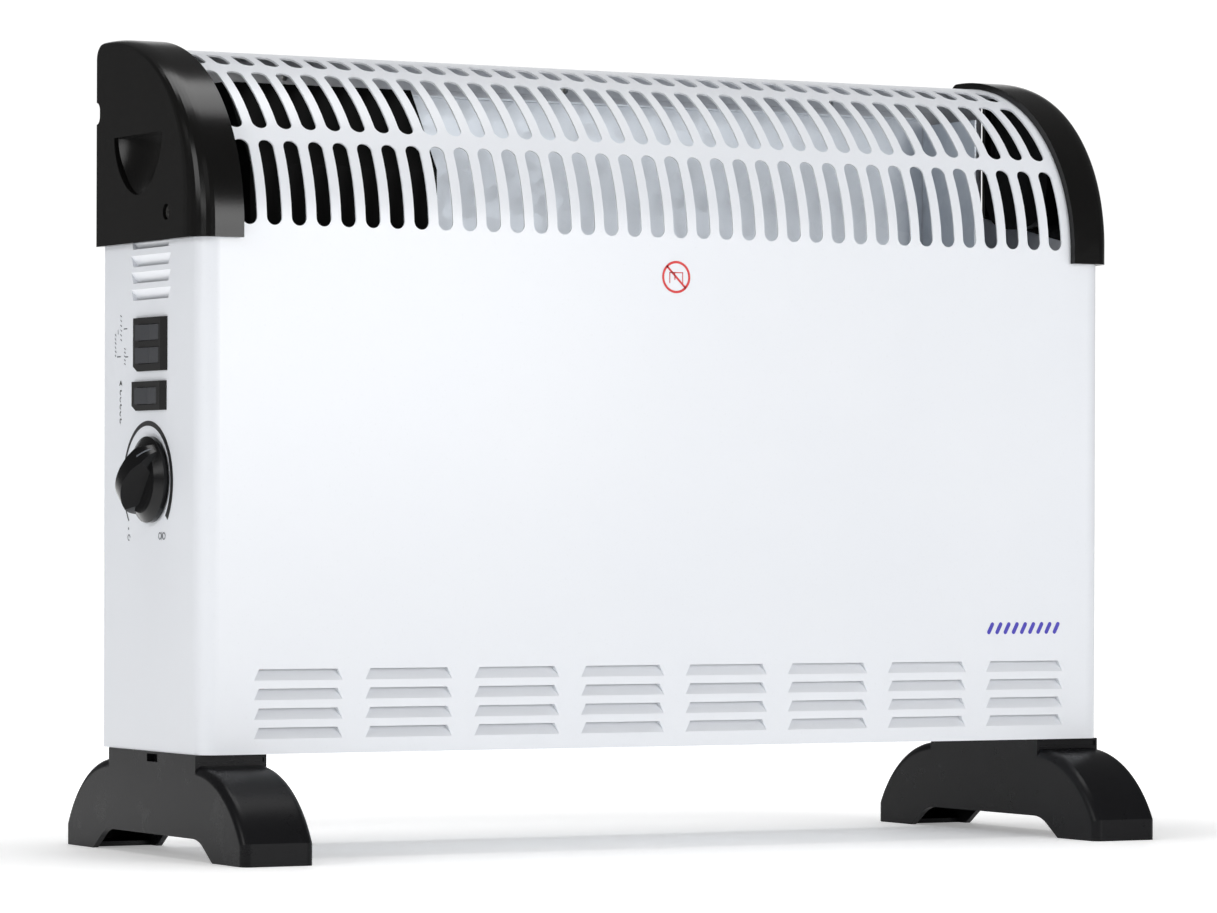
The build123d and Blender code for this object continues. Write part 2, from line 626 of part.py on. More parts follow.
# ---------------------------------------------------------------- switches
def bezel(y, z, length, height):
    """Flange of a switch: bevelled towards the front, its low corner at the back cut off."""
    front = y - length / 2
    back = y + length / 2
    with BuildPart() as flange:
        with BuildSketch(Plane.XY.offset(z - height / 2)):
            with BuildLine():
                Polyline(
                    (LEFT, back),
                    (LEFT - FLANGE_T, back),
                    (LEFT - FLANGE_T, front + BEZEL_BEVEL),
                    (LEFT - FLANGE_T / 3, front),
                    (LEFT, front),
                    close=True,
                )
            make_face()
        extrude(amount=height)
        with BuildSketch(Plane.YZ.offset(LEFT + 1)):
            with Locations((y, z)):
                Polygon(
                    (-length / 2, -height / 2),
                    (length / 2 - BEZEL_CORNER, -height / 2),
                    (length / 2, -height / 2 + BEZEL_CORNER / 2),
                    (length / 2, height / 2),
                    (-length / 2, height / 2),
                    align=None,
                )
        extrude(amount=-FLANGE_T - 2, mode=Mode.INTERSECT)
    return flange.part


with BuildPart() as double_switch:
    add(bezel(DOUBLE_Y, DOUBLE_Z, DOUBLE_L, DOUBLE_H))
    with BuildSketch(Plane.YZ.offset(LEFT)):
        with Locations((DOUBLE_Y, DOUBLE_Z)):
            Rectangle(DOUBLE_L - 4, DOUBLE_H - 3)
    extrude(amount=SWITCH_DEPTH)
    for z in (HIGH_ROCKER_Z, LOW_ROCKER_Z):
        with BuildSketch(Plane.XY.offset(z - DOUBLE_ROCKER_H / 2)):
            with Locations((PIVOT_X, DOUBLE_ROCKER_Y)):
                Circle(DOUBLE_ROCKER_R + ROCKER_GAP)
        extrude(amount=DOUBLE_ROCKER_H, mode=Mode.SUBTRACT)
        with BuildSketch(Plane.XY.offset(z - DOUBLE_ROCKER_H / 2 - PIN_LEN - 0.2)):
            with Locations((PIVOT_X, DOUBLE_ROCKER_Y)):
                Circle(PIN_R + PIN_FIT)
        extrude(amount=DOUBLE_ROCKER_H + 2 * PIN_LEN + 0.4, mode=Mode.SUBTRACT)
double_switch.part.label = "double_switch_housing"
export_step(double_switch.part, "parts/double_switch_housing.step")

with BuildPart() as turbo_switch:
    add(bezel(TURBO_Y, TURBO_Z, TURBO_L, TURBO_H))
    with BuildSketch(Plane.YZ.offset(LEFT)):
        with Locations((TURBO_Y, TURBO_Z)):
            Rectangle(TURBO_L - 4, TURBO_H - 3)
    extrude(amount=SWITCH_DEPTH)
    with BuildSketch(Plane.XY.offset(TURBO_Z - TURBO_ROCKER_H / 2)):
        with Locations((PIVOT_X, TURBO_ROCKER_Y)):
            Circle(TURBO_ROCKER_R + ROCKER_GAP)
    extrude(amount=TURBO_ROCKER_H, mode=Mode.SUBTRACT)
    with BuildSketch(Plane.XY.offset(TURBO_Z - TURBO_ROCKER_H / 2 - PIN_LEN - 0.2)):
        with Locations((PIVOT_X, TURBO_ROCKER_Y)):
            Circle(PIN_R + PIN_FIT)
    extrude(amount=TURBO_ROCKER_H + 2 * PIN_LEN + 0.4, mode=Mode.SUBTRACT)
turbo_switch.part.label = "fan_switch_housing"
export_step(turbo_switch.part, "parts/fan_switch_housing.step")


def rocker_body(y, z, radius, height):
    """A rocker tilted to its off side, with a pivot pin at each end."""
    rise = radius * ROCKER_TILT_RISE
    with BuildPart() as body:
        with BuildSketch(Plane.XY.offset(z - height / 2 + ROCKER_GAP)):
            with Locations(Location((PIVOT_X, y), ROCKER_TILT)):
                Polygon(
                    (3, -radius),
                    (3, radius),
                    (-ROCKER_CREST - rise, radius),
                    (-ROCKER_CREST, 0),
                    (-ROCKER_CREST - rise, -radius),
                    align=None,
                )
            with Locations((PIVOT_X, y)):
                Circle(radius, mode=Mode.INTERSECT)
        extrude(amount=height - 2 * ROCKER_GAP)
        with BuildSketch(Plane.XY.offset(z - height / 2 - PIN_LEN)):
            with Locations((PIVOT_X, y)):
                Circle(PIN_R)
        extrude(amount=height + 2 * PIN_LEN)
    return body.part


with BuildPart() as rocker_high:
    add(rocker_body(DOUBLE_ROCKER_Y, HIGH_ROCKER_Z, DOUBLE_ROCKER_R, DOUBLE_ROCKER_H))
rocker_high.part.label = "rocker_high"
export_step(rocker_high.part, "parts/rocker_high.step")

with BuildPart() as rocker_low:
    add(rocker_body(DOUBLE_ROCKER_Y, LOW_ROCKER_Z, DOUBLE_ROCKER_R, DOUBLE_ROCKER_H))
rocker_low.part.label = "rocker_low"
export_step(rocker_low.part, "parts/rocker_low.step")

with BuildPart() as rocker_fan:
    add(rocker_body(TURBO_ROCKER_Y, TURBO_Z, TURBO_ROCKER_R, TURBO_ROCKER_H))
rocker_fan.part.label = "rocker_fan"
export_step(rocker_fan.part, "parts/rocker_fan.step")

with BuildPart() as switch_tabs:
    with BuildSketch(Plane.YZ.offset(LEFT + SWITCH_DEPTH)):
        with Locations((DOUBLE_Y, HIGH_ROCKER_Z), (DOUBLE_Y, LOW_ROCKER_Z), (TURBO_Y, TURBO_Z)):
            with GridLocations(9, 0, 3, 1):
                Rectangle(4.8, 0.8)
    extrude(amount=8)
switch_tabs.part.label = "switch_tabs"
export_step(switch_tabs.part, "parts/switch_tabs.step")

# ---------------------------------------------------------------- thermostat
with BuildPart() as thermostat:
    with BuildSketch(Plane.YZ.offset(LEFT + SHEET)):
        with Locations((DIAL_Y, DIAL_Z)):
            RectangleRounded(34, 34, 3)
    extrude(amount=THERMO_DEPTH)
    with BuildSketch(Plane.YZ.offset(LEFT + SHEET)):
        with Locations((DIAL_Y, DIAL_Z)):
            Circle(BUSH_R)
    extrude(amount=-(SHEET + BUSH_OUT))
    with BuildSketch(Plane.YZ.offset(LEFT - BUSH_OUT - 1)):
        with Locations((DIAL_Y, DIAL_Z)):
            Circle(SHAFT_R + SHAFT_FIT)
    extrude(amount=BUSH_OUT + 1 + THERMO_DEPTH - 4, mode=Mode.SUBTRACT)
thermostat.part.label = "thermostat_body"
export_step(thermostat.part, "parts/thermostat_body.step")

with BuildPart() as thermostat_nut:
    with BuildSketch(Plane.YZ.offset(LEFT)):
        with Locations((DIAL_Y, DIAL_Z)):
            RegularPolygon(8, 6)
            Circle(BUSH_R, mode=Mode.SUBTRACT)
    extrude(amount=-2.4)
thermostat_nut.part.label = "thermostat_nut"
export_step(thermostat_nut.part, "parts/thermostat_nut.step")

with BuildPart() as dial_shaft:
    with BuildSketch(Plane.YZ.offset(LEFT - KNOB_GAP - KNOB_SKIRT - KNOB_DOME - 4)):
        with Locations((DIAL_Y, DIAL_Z)):
            Circle(SHAFT_R)
    extrude(amount=KNOB_GAP + KNOB_SKIRT + KNOB_DOME + 4 + THERMO_DEPTH - 6)
dial_shaft.part.label = "dial_shaft"
export_step(dial_shaft.part, "parts/dial_shaft.step")

knob_plane = Plane(origin=(LEFT - KNOB_GAP, DIAL_Y, DIAL_Z), x_dir=(0, -1, 0), z_dir=(-1, 0, 0))
lean = radians(KNOB_TURN)
fin_plane = Plane(origin=knob_plane.origin, x_dir=(0, -cos(lean), -sin(lean)), z_dir=(-1, 0, 0))
fin_side = Plane(origin=knob_plane.origin, x_dir=fin_plane.y_dir, z_dir=fin_plane.x_dir)
fin_end = Plane(origin=knob_plane.origin, x_dir=fin_plane.x_dir, z_dir=-fin_plane.y_dir)

# the fin that the fingers turn: a leaf in plan, half an ellipse from the side, narrowing upward
with BuildPart() as knob_fin:
    with BuildSketch(fin_plane):
        with BuildLine():
            tip = FIN_TIP_W / 2
            ThreePointArc((-tip, FIN_HALF), (-FIN_W / 2, 0), (-tip, -FIN_HALF))
            Line((-tip, -FIN_HALF), (tip, -FIN_HALF))
            ThreePointArc((tip, -FIN_HALF), (FIN_W / 2, 0), (tip, FIN_HALF))
            Line((tip, FIN_HALF), (-tip, FIN_HALF))
        make_face()
    extrude(amount=KNOB_HEIGHT)
    with BuildSketch(fin_side):
        Ellipse(FIN_HALF, KNOB_HEIGHT)
    extrude(amount=FIN_W, both=True, mode=Mode.INTERSECT)
    with BuildSketch(fin_end):
        Polygon(
            (-FIN_W / 2, 0), (FIN_W / 2, 0), (FIN_TOP_W / 2, KNOB_HEIGHT), (-FIN_TOP_W / 2, KNOB_HEIGHT), align=None
        )
    extrude(amount=KNOB_R, both=True, mode=Mode.INTERSECT)

with BuildPart() as dial_knob:
    with BuildSketch(knob_plane):
        Circle(KNOB_R)
    extrude(amount=KNOB_SKIRT)
    with BuildSketch(knob_plane.offset(KNOB_SKIRT)):
        Circle(KNOB_R)
    with BuildSketch(knob_plane.offset(KNOB_SKIRT + KNOB_DOME)):
        Circle(KNOB_DOME_R)
    loft()
    add(knob_fin.part)
    with BuildSketch(knob_plane):
        Circle(NUT_ROOM_R)
    extrude(amount=NUT_ROOM_T, mode=Mode.SUBTRACT)
    with BuildSketch(knob_plane):
        Circle(SHAFT_R)
    extrude(amount=KNOB_SKIRT + KNOB_DOME + 4, mode=Mode.SUBTRACT)
dial_knob.part.label = "dial_knob"
export_step(dial_knob.part, "parts/dial_knob.step")

# ---------------------------------------------------------------- fan and its duct
with BuildPart() as fan_duct:
    with BuildSketch(Plane.YZ.offset(FAN_X - DUCT_W / 2)):
        with BuildLine():
            Polyline(
                (DUCT_FRONT, DUCT_LOW),
                (DUCT_BACK, DUCT_LOW),
                (DUCT_BACK, DUCT_TOP),
                (DUCT_LIP_Y, DUCT_TOP),
                (DUCT_FRONT, DUCT_SHOULDER),
                close=True,
            )
        make_face()
    extrude(amount=DUCT_W)
    with BuildSketch(Plane.YZ.offset(FAN_X - DUCT_W / 2 + DUCT_WALL)):
        with BuildLine():
            Polyline(
                (DUCT_FRONT + DUCT_WALL, DUCT_LOW - 1),
                (DUCT_BACK - DUCT_WALL, DUCT_LOW - 1),
                (DUCT_BACK - DUCT_WALL, DUCT_TOP + 1),
                (DUCT_LIP_Y + DUCT_WALL, DUCT_TOP + 1),
                (DUCT_FRONT + DUCT_WALL, DUCT_SHOULDER),
                close=True,
            )
        make_face()
    extrude(amount=DUCT_W - 2 * DUCT_WALL, mode=Mode.SUBTRACT)
    with BuildSketch(Plane.XY.offset(DECK_Z)):
        with Locations((FAN_X, (DUCT_FRONT + DUCT_BACK) / 2)):
            Rectangle(DUCT_W - 2, DUCT_BACK - DUCT_FRONT - 2)
        with Locations((FAN_X, FAN_Y)):
            Circle(FAN_BORE_R, mode=Mode.SUBTRACT)
            Circle(MOTOR_R)
            Rectangle(2 * FAN_BORE_R + 2, 5)
            Rectangle(5, 2 * FAN_BORE_R + 2)
            Circle(FAN_SHAFT_R + 1, mode=Mode.SUBTRACT)
    extrude(amount=DUCT_WALL)
fan_duct.part.label = "fan_duct"
export_step(fan_duct.part, "parts/fan_duct.step")

with BuildPart() as fan_motor:
    with BuildSketch(Plane.XY.offset(MOTOR_LOW)):
        with Locations((FAN_X, FAN_Y)):
            Circle(MOTOR_R - 1)
    extrude(amount=DECK_Z - MOTOR_LOW)
    with BuildSketch(Plane.XY.offset(MOTOR_LOW - 3)):
        with Locations((FAN_X, FAN_Y)):
            Circle(6)
    extrude(amount=3)
    with BuildSketch(Plane.XY.offset(DECK_Z - 14)):
        with Locations((FAN_X, FAN_Y)):
            Circle(FAN_SHAFT_R + SHAFT_FIT)
    extrude(amount=15, mode=Mode.SUBTRACT)
fan_motor.part.label = "fan_motor"
export_step(fan_motor.part, "parts/fan_motor.step")

# one blade, twisted between its root at the hub and its tip
hub_low = DECK_Z + DUCT_WALL + 2
with BuildPart() as fan_blade:
    with BuildSketch(Plane.YZ.offset(HUB_R - 2)):
        with Locations((0, hub_low + FAN_H / 2)):
            Rectangle(FAN_H + 2, 1.4, rotation=32)
    with BuildSketch(Plane.YZ.offset(BLADE_R)):
        with Locations((0, hub_low + FAN_H / 2)):
            Rectangle(FAN_H + 12, 1.2, rotation=20)
    loft()

with BuildPart() as fan_blades:
    with BuildSketch(Plane.XY.offset(hub_low)):
        with Locations((FAN_X, FAN_Y)):
            Circle(HUB_R)
    extrude(amount=FAN_H)
    for k in range(BLADE_COUNT):
        spin = Location((FAN_X, FAN_Y, 0), (0, 0, k * 360 / BLADE_COUNT))
        add(fan_blade.part.moved(spin))
    with BuildSketch(Plane.XY.offset(DECK_Z - 12)):
        with Locations((FAN_X, FAN_Y)):
            Circle(FAN_SHAFT_R)
    extrude(amount=hub_low - DECK_Z + 12)
fan_blades.part.label = "fan_blades"
export_step(fan_blades.part, "parts/fan_blades.step")

# ---------------------------------------------------------------- heat shields
with BuildPart() as reflector:
    with BuildSketch(Plane.XZ.offset(-REFLECTOR_Y)):
        with Locations((CASE_X + (REFLECTOR_X0 + REFLECTOR_X1) / 2, (REFLECTOR_LOW + REFLECTOR_TOP) / 2)):
            Rectangle(REFLECTOR_X1 - REFLECTOR_X0, REFLECTOR_TOP - REFLECTOR_LOW)
    extrude(amount=-SHEET)
    # folded rim along the top, from a lip in front of the plate back to the rear panel
    with BuildSketch(Plane.XY.offset(REFLECTOR_TOP)):
        with Locations((CASE_X + (REFLECTOR_X0 + REFLECTOR_X1) / 2, (REFLECTOR_Y - REFLECTOR_LIP + REAR_Y) / 2)):
            Rectangle(REFLECTOR_X1 - REFLECTOR_X0, REAR_Y - REFLECTOR_Y + REFLECTOR_LIP)
    extrude(amount=-SHEET)
reflector.part.label = "reflector"
export_step(reflector.part, "parts/reflector.step")

with BuildPart() as partition_right:
    with BuildSketch(Plane.YZ.offset(CASE_X + PARTITION_X)):
        with BuildLine():
            Polyline(
                (PARTITION_FRONT, PARTITION_LOW),
                (REFLECTOR_Y - 0.2, PARTITION_LOW),
                (REFLECTOR_Y - 0.2, REFLECTOR_TOP - 4),
                (PARTITION_UPPER_FRONT, REFLECTOR_TOP - 4),
                (PARTITION_UPPER_FRONT, PARTITION_STEP),
                (PARTITION_FRONT, PARTITION_STEP),
                close=True,
            )
        make_face()
    extrude(amount=SHEET)
partition_right.part.label = "partition_right"
export_step(partition_right.part, "parts/partition_right.step")

with BuildPart() as partition_left:
    with BuildSketch(Plane.YZ.offset(CASE_X + PARTITION_LEFT_X)):
        with Locations(((PARTITION_FRONT + REFLECTOR_Y) / 2, (PARTITION_LOW + PARTITION_STEP) / 2)):
            Rectangle(REFLECTOR_Y - PARTITION_FRONT - 0.4, PARTITION_STEP - PARTITION_LOW)
    extrude(amount=-SHEET)
partition_left.part.label = "partition_left"
export_step(partition_left.part, "parts/partition_left.step")

# ---------------------------------------------------------------- heating element
with BuildPart() as element_boards:
    for y in (-BOARD_Y, BOARD_Y):
        with BuildSketch(Plane.XZ.offset(-y - BOARD_T / 2)):
            with Locations((CASE_X + ELEMENT_MID, ELEMENT_Z)):
                Rectangle(ELEMENT_L, BOARD_H)
                with GridLocations(COIL_PITCH, 2 * COIL_RISE, COIL_COUNT, 2):
                    Circle(COIL_R, mode=Mode.SUBTRACT)
        extrude(amount=BOARD_T)
element_boards.part.label = "element_boards"
export_step(element_boards.part, "parts/element_boards.step")

with BuildPart() as element_coils:
    with BuildSketch(Plane.XZ.offset(BOARD_Y + 3)):
        with Locations((CASE_X + ELEMENT_MID, ELEMENT_Z)):
            with GridLocations(COIL_PITCH, 2 * COIL_RISE, COIL_COUNT, 2):
                Circle(COIL_R)
    extrude(amount=-2 * (BOARD_Y + 3))
element_coils.part.label = "element_coils"
export_step(element_coils.part, "parts/element_coils.step")

with BuildPart() as element_brackets:
    for x in (REFLECTOR_X0 + 2, REFLECTOR_X1 - 3):
        with BuildSketch(Plane.YZ.offset(CASE_X + x)):
            with Locations((0, ELEMENT_Z)):
                Rectangle(2 * BOARD_Y + BOARD_T + 12, BOARD_H + 14)
                with Locations((-BOARD_Y, 0), (BOARD_Y, 0)):
                    Rectangle(BOARD_T + 0.2, BOARD_H + 0.2, mode=Mode.SUBTRACT)
        extrude(amount=SHEET)
element_brackets.part.label = "element_brackets"
export_step(element_brackets.part, "parts/element_brackets.step")

with BuildPart() as thermal_cutout:
    with BuildSketch(Plane.YZ.offset(CASE_X + PARTITION_LEFT_X)):
        with Locations((10, CUTOUT_Z)):
            Circle(9)
    extrude(amount=8)
    with BuildSketch(Plane.YZ.offset(CASE_X + PARTITION_LEFT_X + 8)):
        with Locations((5, CUTOUT_Z), (15, CUTOUT_Z)):
            Rectangle(4, 0.8)
    extrude(amount=7)
thermal_cutout.part.label = "thermal_cutout"
export_step(thermal_cutout.part, "parts/thermal_cutout.step")

# ---------------------------------------------------------------- wiring
with BuildPart() as terminal_block:
    with BuildSketch(Plane.XY.offset(CASE_BOTTOM + 2 * SHEET)):
        with Locations((CASE_X + TERMINAL_X, TERMINAL_Y)):
            Rectangle(34, 20)
    extrude(amount=16)
    with BuildSketch(Plane.XY.offset(CASE_BOTTOM + 2 * SHEET + 16)):
        with Locations((CASE_X + TERMINAL_X, TERMINAL_Y)):
            with GridLocations(11, 10, 3, 2):
                Circle(2.4)
    extrude(amount=-5, mode=Mode.SUBTRACT)
terminal_block.part.label = "terminal_block"
export_step(terminal_block.part, "parts/terminal_block.step")

with BuildPart() as cord_gland:
    with BuildSketch(Plane.XZ.offset(-CASE_BACK)):
        with Locations((CASE_X + GLAND_X, GLAND_Z)):
            Circle(GLAND_R + 2.5)
    extrude(amount=-3)
    with BuildSketch(Plane.XZ.offset(-CASE_BACK)):
        with Locations((CASE_X + GLAND_X, GLAND_Z)):
            Circle(GLAND_R)
    extrude(amount=7)
    with BuildSketch(Plane.XZ.offset(-CASE_BACK - 5)):
        with Locations((CASE_X + GLAND_X, GLAND_Z)):
            Circle(GLAND_BORE_R)
    extrude(amount=20, mode=Mode.SUBTRACT)
cord_gland.part.label = "cord_gland"
export_step(cord_gland.part, "parts/cord_gland.step")

with BuildPart() as wires:
    for k in range(3):
        start_y = DOUBLE_Y + (k - 1) * 9
        with BuildLine() as run:
            Spline(
                (LEFT + SWITCH_DEPTH + 8.3, start_y, LOW_ROCKER_Z),
                (LEFT + SWITCH_DEPTH + 12, start_y, LOW_ROCKER_Z - 12),
                (LEFT + SWITCH_DEPTH + 12.5, start_y, DUCT_LOW + 8),
                (CASE_X + TERMINAL_X - 10, TERMINAL_Y - 4 + (k - 1) * WIRE_STEP, 120),
                (CASE_X + TERMINAL_X + (k - 1) * 11, TERMINAL_Y - 5, CASE_BOTTOM + 2 * SHEET + 16.3),
                tangents=((1, 0, 0), (0, 0, -1)),
            )
        with BuildSketch(Plane(origin=run.line @ 0, z_dir=run.line % 0)):
            Circle(WIRE_R)
        sweep(path=run.line)
wires.part.label = "wires"
export_step(wires.part, "parts/wires.step")
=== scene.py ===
# %% [markdown]
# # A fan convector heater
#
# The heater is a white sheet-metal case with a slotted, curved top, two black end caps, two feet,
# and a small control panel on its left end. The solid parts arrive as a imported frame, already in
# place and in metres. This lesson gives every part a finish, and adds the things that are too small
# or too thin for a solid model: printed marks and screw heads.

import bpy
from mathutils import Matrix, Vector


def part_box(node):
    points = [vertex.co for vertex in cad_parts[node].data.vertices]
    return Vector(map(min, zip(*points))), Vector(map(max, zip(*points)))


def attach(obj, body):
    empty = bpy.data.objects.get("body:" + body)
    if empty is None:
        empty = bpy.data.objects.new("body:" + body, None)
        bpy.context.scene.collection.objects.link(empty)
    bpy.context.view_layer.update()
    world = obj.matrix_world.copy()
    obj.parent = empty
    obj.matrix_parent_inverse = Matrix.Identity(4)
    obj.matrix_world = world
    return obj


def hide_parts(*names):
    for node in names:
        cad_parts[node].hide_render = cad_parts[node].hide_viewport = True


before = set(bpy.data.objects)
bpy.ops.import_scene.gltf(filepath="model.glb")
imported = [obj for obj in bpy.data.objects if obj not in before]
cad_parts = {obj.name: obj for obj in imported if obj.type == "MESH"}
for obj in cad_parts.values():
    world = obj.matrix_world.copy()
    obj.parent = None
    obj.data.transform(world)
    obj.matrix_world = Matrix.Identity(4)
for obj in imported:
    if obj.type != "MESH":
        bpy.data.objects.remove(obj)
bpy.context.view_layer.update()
print("parts in the frame:", len(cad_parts))

# %% Other modules
import math

import bmesh
import bpy
from mathutils import Matrix, Vector

# %% [markdown]
# ## Arithmetic with sockets
#
# A finish is easier to read as an expression than as a web of nodes. The class below wraps one node
# socket. Adding or multiplying two of them adds a Math node, so `1 - mask` is both the formula and
# the shader.


# %% A socket that takes part in expressions
class Value:
    """One output socket, with the usual operators."""

    def __init__(self, finish, socket):
        self.finish = finish
        self.socket = socket

    def math(self, operation, left, right=0.0):
        return self.finish.node("ShaderNodeMath", {"operation": operation}, {0: left, 1: right})

    def __add__(self, other):
        return self.math("ADD", self, other)

    def __radd__(self, other):
        return self.math("ADD", other, self)

    def __sub__(self, other):
        return self.math("SUBTRACT", self, other)

    def __rsub__(self, other):
        return self.math("SUBTRACT", other, self)

    def __mul__(self, other):
        return self.math("MULTIPLY", self, other)

    def __rmul__(self, other):
        return self.math("MULTIPLY", other, self)

    def __truediv__(self, other):
        return self.math("DIVIDE", self, other)

    def __rtruediv__(self, other):
        return self.math("DIVIDE", other, self)

    def __pow__(self, other):
        return self.math("POWER", self, other)

    def __lt__(self, other):
        return self.math("LESS_THAN", self, other)

    def __gt__(self, other):
        return self.math("GREATER_THAN", self, other)

    def clamped(self):
        return self.finish.node("ShaderNodeClamp", {}, {0: self, 1: 0.0, 2: 1.0})


# %% A finish: one material with short words for its nodes
class Finish:
    """A material whose surface is written as expressions."""

    def __init__(self, name, **constants):
        self.material = bpy.data.materials.new(name)
        self.material.use_nodes = True
        self.tree = self.material.node_tree
        self.surface = self.tree.nodes["Principled BSDF"]
        for socket, value in constants.items():
            self.surface.inputs[socket.replace("_", " ")].default_value = value

    def node(self, kind, settings, inputs, out=0):
        made = self.tree.nodes.new(kind)
        for key, value in settings.items():
            setattr(made, key, value)
        for key, value in inputs.items():
            self.feed(made.inputs[key], value)
        return Value(self, made.outputs[out])

    def feed(self, socket, value):
        if isinstance(value, Value):
            self.tree.links.new(value.socket, socket)
        else:
            socket.default_value = value

    def where(self):
        """The point on the part, in metres."""
        return self.node("ShaderNodeTexCoord", {}, {}, out=3)

    def noise(self, size, detail=2.0, rough=0.5, stretch=None):
        """Cloudy noise from 0 to 1 whose spots are about size metres across."""
        at = self.where()
        if stretch:
            at = self.node("ShaderNodeMapping", {}, {0: at, 3: stretch})
        inputs = {"Vector": at, "Scale": 1 / size, "Detail": detail, "Roughness": rough}
        return self.node("ShaderNodeTexNoise", {}, inputs)

    def cells(self, size, out=0, feature="F1"):
        """Voronoi cells about size metres across."""
        inputs = {"Vector": self.where(), "Scale": 1 / size}
        return self.node("ShaderNodeTexVoronoi", {"feature": feature}, inputs, out=out)

    def spread(self, value, low, high, to_low=0.0, to_high=1.0):
        return self.node(
            "ShaderNodeMapRange", {}, {0: value, 1: low, 2: high, 3: to_low, 4: to_high}
        )

    def blend(self, mask, first, second):
        """The first colour where the mask is 0, the second where it is 1."""
        return self.node(
            "ShaderNodeMix", {"data_type": "RGBA"}, {0: mask, 6: first, 7: second}, out=2
        )

    def facing(self, x=0.0, y=0.0, z=1.0):
        """How far the surface faces a direction, from -1 to 1."""
        normal = self.node("ShaderNodeNewGeometry", {}, {}, out=1)
        return self.along(normal, (x, y, z))

    def along(self, vector, direction):
        """How far a vector reaches in a direction."""
        return self.node(
            "ShaderNodeVectorMath", {"operation": "DOT_PRODUCT"}, {0: vector, 1: direction}, out=1
        )

    def height(self):
        return self.node("ShaderNodeSeparateXYZ", {}, {0: self.where()}, out=2)

    def color(self, value):
        self.feed(self.surface.inputs["Base Color"], value)
        return self

    def roughness(self, value):
        self.feed(self.surface.inputs["Roughness"], value)
        return self

    def relief(self, value, depth, strength=1.0):
        """Bump of the given depth in metres."""
        bump = self.node(
            "ShaderNodeBump", {}, {"Height": value, "Distance": depth, "Strength": strength}
        )
        self.feed(self.surface.inputs["Normal"], bump)
        return self


print("ready to write finishes")

# %% [markdown]
# ## White enamel
#
# The case is pressed from thin steel and powder coated. Powder coat is never optically flat: it
# flows into a faint orange peel a couple of millimetres wide, with finer texture on top. Noise at
# two sizes drives the bump, and a slow cloud shifts roughness so highlights break up softly.


# %% White enamel
def white_enamel():
    coat = Finish("white_enamel", IOR=1.5, Coat_Weight=0.25, Coat_Roughness=0.18)
    peel = coat.noise(0.0032, detail=2.0)
    grain = coat.noise(0.0006, detail=1.0)
    cloud = coat.noise(0.11, detail=3.0)
    fleck = coat.spread(coat.noise(0.0011, detail=0.0), 0.74, 0.80)
    tone = coat.blend(cloud, (0.79, 0.815, 0.86, 1), (0.83, 0.85, 0.885, 1))
    coat.color(coat.blend(fleck * 0.12, tone, (0.66, 0.67, 0.69, 1)))
    coat.roughness(0.30 + cloud * 0.10 + grain * 0.05)
    coat.relief(peel * 0.8 + grain * 0.2, 0.00006, 0.55)
    return coat.material


print("white enamel for the case")

# %% [markdown]
# ## Moulded plastics
#
# The caps, feet and switches are injection moulded in dark plastic. Their moulds are spark-eroded,
# which leaves a fine, even grain that turns gloss into a soft satin. One function makes them all,
# because they differ only in colour, gloss and how coarse the grain is.


# %% Moulded plastic
def moulded(name, dark, light, gloss, grain_size, grain_depth, coat_weight=0.0, index=1.5):
    shell = Finish(name, IOR=index, Coat_Weight=coat_weight, Coat_Roughness=0.12)
    grain = shell.noise(grain_size, detail=3.0, rough=0.6)
    pores = shell.cells(grain_size * 1.7)
    flow = shell.noise(0.045, detail=2.0, stretch=(1.0, 1.0, 0.35))
    rub = shell.spread(shell.noise(0.018, detail=4.0), 0.58, 0.75)
    shell.color(shell.blend((flow * 0.7 + grain * 0.3).clamped(), dark, light))
    shell.roughness(gloss + grain * 0.10 + flow * 0.05 - rub * 0.05)
    shell.relief(grain * 0.6 + pores * 0.4, grain_depth, 0.6)
    return shell.material


def cap_black():
    return moulded(
        "cap_black",
        (0.004, 0.004, 0.004, 1),
        (0.008, 0.0076, 0.0072, 1),
        gloss=0.13, grain_size=0.0005, grain_depth=0.00004, index=1.31,
    )


def foot_charcoal():
    return moulded(
        "foot_charcoal",
        (0.006, 0.006, 0.0065, 1),
        (0.011, 0.011, 0.0125, 1),
        gloss=0.22, grain_size=0.0006, grain_depth=0.00005, index=1.22,
    )


# Painted shade: the fan duct is near-black and reflects little, so besides being a black housing it
# stands in for the shade inside the left end.
def duct_black_painted_shade():
    return moulded(
        "duct_black_painted_shade",
        (0.003, 0.003, 0.003, 1),
        (0.006, 0.006, 0.006, 1),
        gloss=0.42, grain_size=0.0007, grain_depth=0.00003, index=1.12,
    )


def bezel_black():
    return moulded(
        "bezel_black",
        (0.006, 0.006, 0.006, 1),
        (0.010, 0.010, 0.010, 1),
        gloss=0.30, grain_size=0.0004, grain_depth=0.00003, index=1.4,
    )


def rocker_grey():
    return moulded(
        "rocker_grey",
        (0.036, 0.038, 0.043, 1),
        (0.048, 0.050, 0.056, 1),
        gloss=0.34, grain_size=0.0004, grain_depth=0.00003,
    )


def knob_gloss():
    return moulded(
        "knob_gloss",
        (0.004, 0.004, 0.0045, 1),
        (0.007, 0.007, 0.0075, 1),
        gloss=0.14, grain_size=0.0008, grain_depth=0.00001, coat_weight=0.06, index=1.30,
    )


def fan_nylon():
    return moulded(
        "fan_nylon",
        (0.55, 0.54, 0.50, 1),
        (0.64, 0.63, 0.60, 1),
        gloss=0.42, grain_size=0.0006, grain_depth=0.00003,
    )


def thermoset_cream():
    return moulded(
        "thermoset_cream",
        (0.56, 0.50, 0.38, 1),
        (0.66, 0.60, 0.48, 1),
        gloss=0.45, grain_size=0.0005, grain_depth=0.00004,
    )


def terminal_nylon():
    return moulded(
        "terminal_nylon",
        (0.62, 0.62, 0.58, 1),
        (0.70, 0.70, 0.66, 1),
        gloss=0.38, grain_size=0.0005, grain_depth=0.00003,
    )


